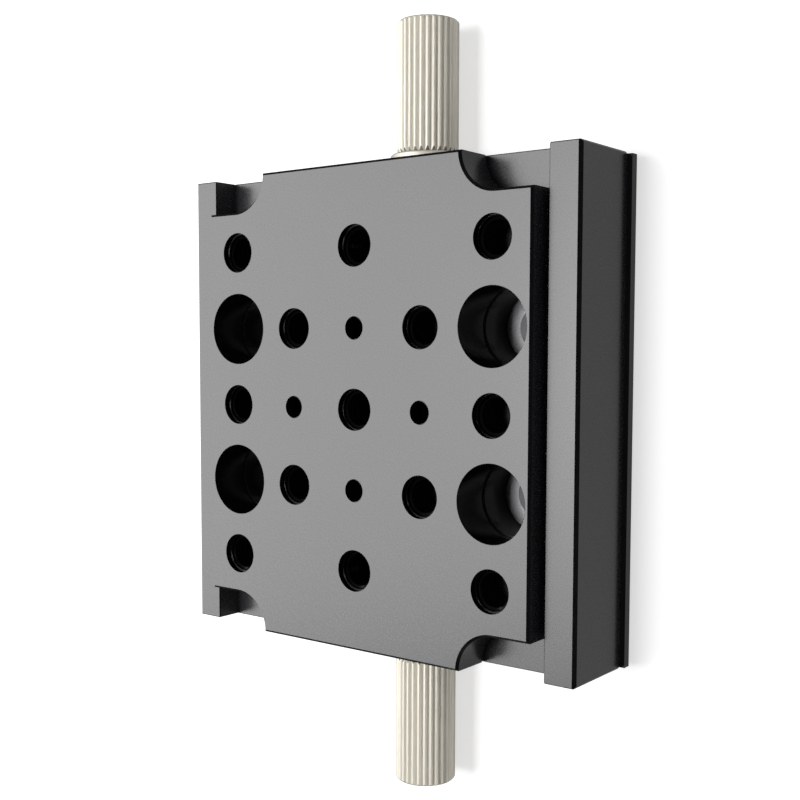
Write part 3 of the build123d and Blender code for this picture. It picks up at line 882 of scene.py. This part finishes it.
class STAGE_OT_carriage(bpy.types.Operator):
    """Countersinks and taps the carriage's holes and finishes it"""

    bl_idname = "linear_stage.carriage"
    bl_label = "Carriage"

    # the solids' step between holes, heights, and radii of the access holes and of the reliefs over the
    # M6 bores, in millimetres
    step, face, underside, relief_floor = 25.0, 18.0, 11.5, 17.0
    access, relief = 5.75, 3.2
    # how far a cone reaches past the surfaces that it cuts, and how far a thread runs out past its mouth
    reach, run = 0.05, 0.35
    # radii between which the threads are cut
    m6, m4 = (2.4, 3.0), (1.64, 1.8)
    # broken edges and lead-ins, each as (upper radius, its height, lower radius, its height)
    access_cones = ((5.8, 18.0, 5.75, 17.95),)
    m6_cones = ((3.24, 18.0, 3.2, 17.96), (3.18, 17.0, 2.3, 16.5))
    m4_cones = ((1.71, 18.0, 1.65, 17.94),)

    def execute(self, context):
        threads = context.scene.stage_threads
        piece = merged_copy("carriage", "carriage_tapped", "anodised_aluminium")
        mouths, tapped = mouth_group(), thread_group()
        m6 = (threads.m6_pitch, *self.m6, self.relief_floor)
        m4 = (threads.small_pitch, *self.m4, self.face)
        # columns, rows, steps from column to column, cones and thread of each grid of holes
        for columns, rows, steps, cones, thread in (
            (3, 3, 1, self.m6_cones, m6),
            (2, 2, 1, self.m6_cones, m6),
            (2, 1, 1, self.m4_cones, m4),
            (1, 2, 1, self.m4_cones, m4),
            (2, 2, 2, self.access_cones, None),
        ):
            corner = Vector((-(columns - 1) / 2 * steps, -(rows - 1) / 2, 0.0)) * self.step * MM
            grid = {
                "Columns": columns,
                "Rows": rows,
                "Column spacing": (steps * self.step * MM, 0.0, 0.0),
                "Row spacing": (0.0, self.step * MM, 0.0),
                "Steps a turn": threads.steps,
                "Material": finish("anodised_aluminium"),
            }
            for cone in cones:
                apply_group(piece, mouths, {**grid, **self.countersink(corner, *cone)})
            if thread:
                apply_group(piece, tapped, {**grid, **self.tap(corner, *thread)})
        # painted shade on the chamfers, the holes' walls and the threads
        finish_faces(piece, "anodised_cut_painted_shade", self.is_cut_and_shaded)
        shade_by_angle(piece)
        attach(piece, "carriage")
        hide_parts("carriage")
        return {"FINISHED"}

    def countersink(self, corner, upper, upper_z, lower, lower_z):
        """A cone through these two circles, a little longer than from one to the other."""
        slope = (upper - lower) / (upper_z - lower_z)
        return {
            "First mouth": corner + Vector((0.0, 0.0, (upper_z + self.reach) * MM)),
            "Mouth radius": (upper + slope * self.reach) * MM,
            "Bottom radius": (lower - slope * self.reach) * MM,
            "Depth": (upper_z - lower_z + 2 * self.reach) * MM,
        }

    def tap(self, corner, pitch, inner, outer, mouth):
        """A thread's cutter, which runs in and out past both ends of the bore."""
        top = (mouth + self.run) * MM
        turns = math.floor((top - self.underside * MM) / pitch)
        return {
            "First thread": corner + Vector((0.0, 0.0, top - turns * pitch)),
            "Pitch": pitch,
            "Turns": float(turns),
            "Inner radius": inner * MM,
            "Outer radius": outer * MM,
            "Inner width": GROOVE_MOUTH * pitch,
            "Outer width": GROOVE_ROOT * pitch,
        }

    def is_cut_and_shaded(self, place, normal):
        """Whether this is a face of a chamfer, of a hole's wall, of a thread or of the cone over it, which
        get the painted shade.
        """
        if on_chamfer(place, normal, self.face):
            return True
        if abs(normal.z) > LEVEL_UP or place.z > self.face - NEAR:
            return False
        # the holes of all kinds lie on one grid of half steps
        half = self.step / 2
        offsets = [abs(x) % half for x in (place.x, place.y)]
        from_hole = math.hypot(*(min(x, half - x) for x in offsets))
        at_access = max(abs(abs(place.x) - self.step), abs(abs(place.y) - half)) < half / 2
        return from_hole < (self.access if at_access else self.relief) + NEAR


class STAGE_OT_lead_screw(bpy.types.Operator):
    """Cuts the lead screw's thread and finishes it"""

    bl_idname = "linear_stage.lead_screw"
    bl_label = "Lead screw"

    # in millimetres: length of the thread, radius at its root, and how far out the cutter reaches
    threaded, root_radius, cutter_radius = 64.0, 1.9, 2.6

    def execute(self, context):
        threads = context.scene.stage_threads
        piece = merged_copy("lead_screw", "lead_screw_threaded", "rolled_thread_steel")
        low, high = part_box("lead_screw")
        axis_x, axis_z = (low.x + high.x) / 2, (low.z + high.z) / 2
        turns = math.floor(self.threaded * MM / threads.lead)
        cutter = {
            "First thread": (axis_x, turns * threads.lead / 2, axis_z),
            "Turned": (math.radians(90.0), 0.0, 0.0),
            "Pitch": threads.lead,
            "Turns": float(turns),
            "Steps a turn": threads.steps,
            "Inner radius": self.root_radius * MM,
            "Outer radius": self.cutter_radius * MM,
            "Inner width": GROOVE_ROOT * threads.lead,
            "Outer width": GROOVE_MOUTH * threads.lead,
            "Material": finish("rolled_thread_steel"),
        }
        apply_group(piece, thread_group(), cutter)
        shade_by_angle(piece)
        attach(piece, "screw")
        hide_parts("lead_screw")
        return {"FINISHED"}


class STAGE_OT_knobs(bpy.types.Operator):
    """Turns the knobs' blanks, flutes and drills them, and finishes them"""

    bl_idname = "linear_stage.knobs"
    bl_label = "Knobs"

    # the solids' sizes of a knob in millimetres, lengths from the face at the base
    flange, flange_radius, flange_chamfer = 1.75, 5.8, 0.2
    bore_radius, bore_depth = 2.02, 11.7
    crest_radius, end_bevel = 4.85, 0.3
    screw_reach, screw_radius = 4.0, 1.27
    # the run-out of the flutes at the flange: its depth there, and its length to the crests
    neck_depth, run_out = 0.38, 0.8
    # how far the run-out's normals point along the knob, from most inward to least; outward is positive
    run_out_inward = (-0.6, -0.3)
    # radii of the rings that part the end face, so that no face there is a long sliver
    end_rings = (4.0, 1.5, 0.0)
    # parts of the blank's outline along the run-out, the barrel and the bevel, and points around for a flute
    run_out_parts, barrel_parts, bevel_parts, points_a_flute = 12, 6, 6, 10

    def execute(self, context):
        knobs = context.scene.stage_knobs
        tree = flute_group()
        for name in ("knob_front", "knob_back"):
            low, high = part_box(name)
            axis = Vector(((low.x + high.x) / 2, 0.0, (low.z + high.z) / 2))
            end = 1 if high.y > 0 else -1
            start, stop = sorted((abs(low.y), abs(high.y)))
            piece = self.blank(name + "_fluted", axis, end, start, stop, knobs.flutes)
            # the set screw's hole leaves the axis down and to the left, and ends past the crests
            length = self.flange_radius * MM
            out = Vector((-1.0, 0.0, -1.0)).normalized()
            hole = axis + out * length / 2
            hole.y = end * (start + self.screw_reach * MM)
            cuts = {
                "Axis": axis,
                "Flutes": knobs.flutes,
                "Depth": knobs.depth,
                "Screw hole": hole,
                "Screw hole turned": out.to_track_quat("Z", "Y").to_euler(),
                "Screw hole radius": self.screw_radius * MM,
                "Screw hole length": length,
                "Material": finish("satin_nickel_plate"),
            }
            apply_group(piece, tree, cuts)
            # the run-out's slope looks back at the flange, and is drawn dark as painted shade
            near, far = start / MM + self.flange, start / MM + self.flange + self.run_out
            most, least = self.run_out_inward
            finish_faces(
                piece,
                "run_out_painted_shade_nickel",
                lambda place, normal: near < abs(place.y) < far and most < normal.y * end < least,
            )
            shade_by_angle(piece, degrees=40.0)
            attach(piece, "screw")
            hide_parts(name)
        return {"FINISHED"}

    def outline(self, length):
        """The blank's outline as (distance from the face, radius, fluted), from its bore to its end."""
        over = 2 * self.end_bevel
        neck_radius = self.crest_radius - self.neck_depth
        end_radius = self.crest_radius - self.end_bevel
        barrel = (self.flange + 2 * self.run_out, length - over)
        points = [
            (self.bore_depth, 0.0, False),
            (self.bore_depth, self.bore_radius, False),
            (0.0, self.bore_radius, False),
            (0.0, self.flange_radius - self.flange_chamfer, False),
            (self.flange_chamfer, self.flange_radius, False),
            (self.flange - self.flange_chamfer, self.flange_radius, False),
            (self.flange, self.flange_radius - self.flange_chamfer, False),
        ]
        # a slope from the neck out past the crests, straight along, and under 45 degrees in at the end: the
        # flutes bring all of it down to the crests and below
        for i in range(self.run_out_parts + 1):
            share = i / self.run_out_parts
            reach = self.flange + 2 * self.run_out * share
            points.append((reach, neck_radius + 2 * self.neck_depth * share, True))
        for i in range(1, self.barrel_parts):
            reach = barrel[0] + (barrel[1] - barrel[0]) * i / self.barrel_parts
            points.append((reach, end_radius + over, True))
        for i in range(self.bevel_parts + 1):
            reach = barrel[1] + over * i / self.bevel_parts
            points.append((reach, end_radius + over * (1 - i / self.bevel_parts), True))
        points += [(length, radius, False) for radius in self.end_rings]
        return points

    def blank(self, name, axis, end, start, stop, flutes):
        """A turned blank: flange, relieved neck, barrel, beveled end, and a blind bore for the journal."""
        around = flutes * self.points_a_flute
        bm = bmesh.new()
        crest = bm.verts.layers.float.new("crest_radius")
        rings = []
        for reach, radius, fluted in self.outline((stop - start) / MM):
            place = Vector((axis.x, end * (start + reach * MM), axis.z))
            if radius == 0.0:
                rings.append([bm.verts.new(place)])
                continue
            ring = []
            for i in range(around):
                angle = 2 * math.pi * i / around
                arm = Vector((math.cos(angle), 0.0, math.sin(angle))) * radius * MM
                vert = bm.verts.new(place + arm)
                # a crest radius of a metre leaves a point where it is
                vert[crest] = self.crest_radius * MM if fluted else 1.0
                ring.append(vert)
            rings.append(ring)
        # a ring of one point closes the end of the bore or of the knob with triangles
        for inner, outer in zip(rings, rings[1:]):
            for i in range(around):
                j = (i + 1) % around
                steps = ((inner, i), (inner, j), (outer, j), (outer, i))
                corners = [ring[k % len(ring)] for ring, k in steps]
                bm.faces.new(list(dict.fromkeys(corners)))
        bmesh.ops.recalc_face_normals(bm, faces=bm.faces)
        mesh = bpy.data.meshes.new(name)
        bm.to_mesh(mesh)
        bm.free()
        return new_piece(name, mesh, "satin_nickel_plate")


class STAGE_OT_ways(bpy.types.Operator):
    """Finishes the V-ways, their stop plates and the thrust washers"""

    bl_idname = "linear_stage.ways"
    bl_label = "V-ways, stops and washers"

    def execute(self, context):
        dress(("base_way_left", "base_way_right"), "ground_steel")
        dress(("carriage_way_left", "carriage_way_right"), "ground_steel")
        dress(("base_way_stop_plates", "carriage_way_stop_plates"), "ground_steel")
        dress(("thrust_washer_front", "thrust_washer_back"), "ground_steel")
        return {"FINISHED"}


class STAGE_OT_cages(bpy.types.Operator):
    """Finishes the roller cages and their rollers"""

    bl_idname = "linear_stage.cages"
    bl_label = "Roller cages"

    def execute(self, context):
        dress(("roller_cage_left", "roller_cage_right"), "rolled_brass_strip")
        dress(("cross_rollers_left", "cross_rollers_right"), "lapped_steel")
        return {"FINISHED"}


class STAGE_OT_nuts(bpy.types.Operator):
    """Finishes the nuts, the spring between them and the bushes"""

    bl_idname = "linear_stage.nuts"
    bl_label = "Nuts, spring and bushes"

    def execute(self, context):
        dress(("lead_nut", "backlash_nut", "screw_bush_front", "screw_bush_back"), "bearing_bronze")
        dress(("backlash_spring",), "spring_steel")
        return {"FINISHED"}


class STAGE_OT_screws(bpy.types.Operator):
    """Finishes the screws"""

    bl_idname = "linear_stage.screws"
    bl_label = "Screws"

    def execute(self, context):
        dress([name for name in NODES if name.endswith("_screws")], "black_oxide_steel")
        return {"FINISHED"}


class VIEW3D_PT_linear_stage(bpy.types.Panel):
    """Sizes, colours and steps of the linear stage"""

    bl_label = "Linear Stage"
    bl_space_type = "VIEW_3D"
    bl_region_type = "UI"
    bl_category = "Linear Stage"

    def draw(self, context):
        for group_name in GROUPS:
            group = getattr(context.scene, group_name)
            column = self.layout.column(align=True)
            for name in group.__annotations__:
                column.prop(group, name)
        for operator in OPERATORS:
            self.layout.operator(operator.bl_idname)


GROUPS = {
    "stage_finishes": StageFinishes,
    "stage_threads": StageThreads,
    "stage_knobs": StageKnobs,
    "stage_studio": StageStudio,
}
OPERATORS = (
    STAGE_OT_studio,
    STAGE_OT_base,
    STAGE_OT_carriage,
    STAGE_OT_lead_screw,
    STAGE_OT_knobs,
    STAGE_OT_ways,
    STAGE_OT_cages,
    STAGE_OT_nuts,
    STAGE_OT_screws,
)


def register():
    for kind in (*GROUPS.values(), *OPERATORS, VIEW3D_PT_linear_stage):
        bpy.utils.register_class(kind)
    for name, kind in GROUPS.items():
        setattr(bpy.types.Scene, name, bpy.props.PointerProperty(type=kind))


def unregister():
    for name in GROUPS:
        delattr(bpy.types.Scene, name)
    for kind in (VIEW3D_PT_linear_stage, *reversed(OPERATORS), *reversed(GROUPS.values())):
        bpy.utils.unregister_class(kind)


def main():
    """Makes the whole scene."""
    register()
    bpy.ops.linear_stage.studio()
    bpy.ops.linear_stage.base()
    bpy.ops.linear_stage.carriage()
    bpy.ops.linear_stage.lead_screw()
    bpy.ops.linear_stage.knobs()
    bpy.ops.linear_stage.ways()
    bpy.ops.linear_stage.cages()
    bpy.ops.linear_stage.nuts()
    bpy.ops.linear_stage.screws()


if __name__ == "__main__":
    main()
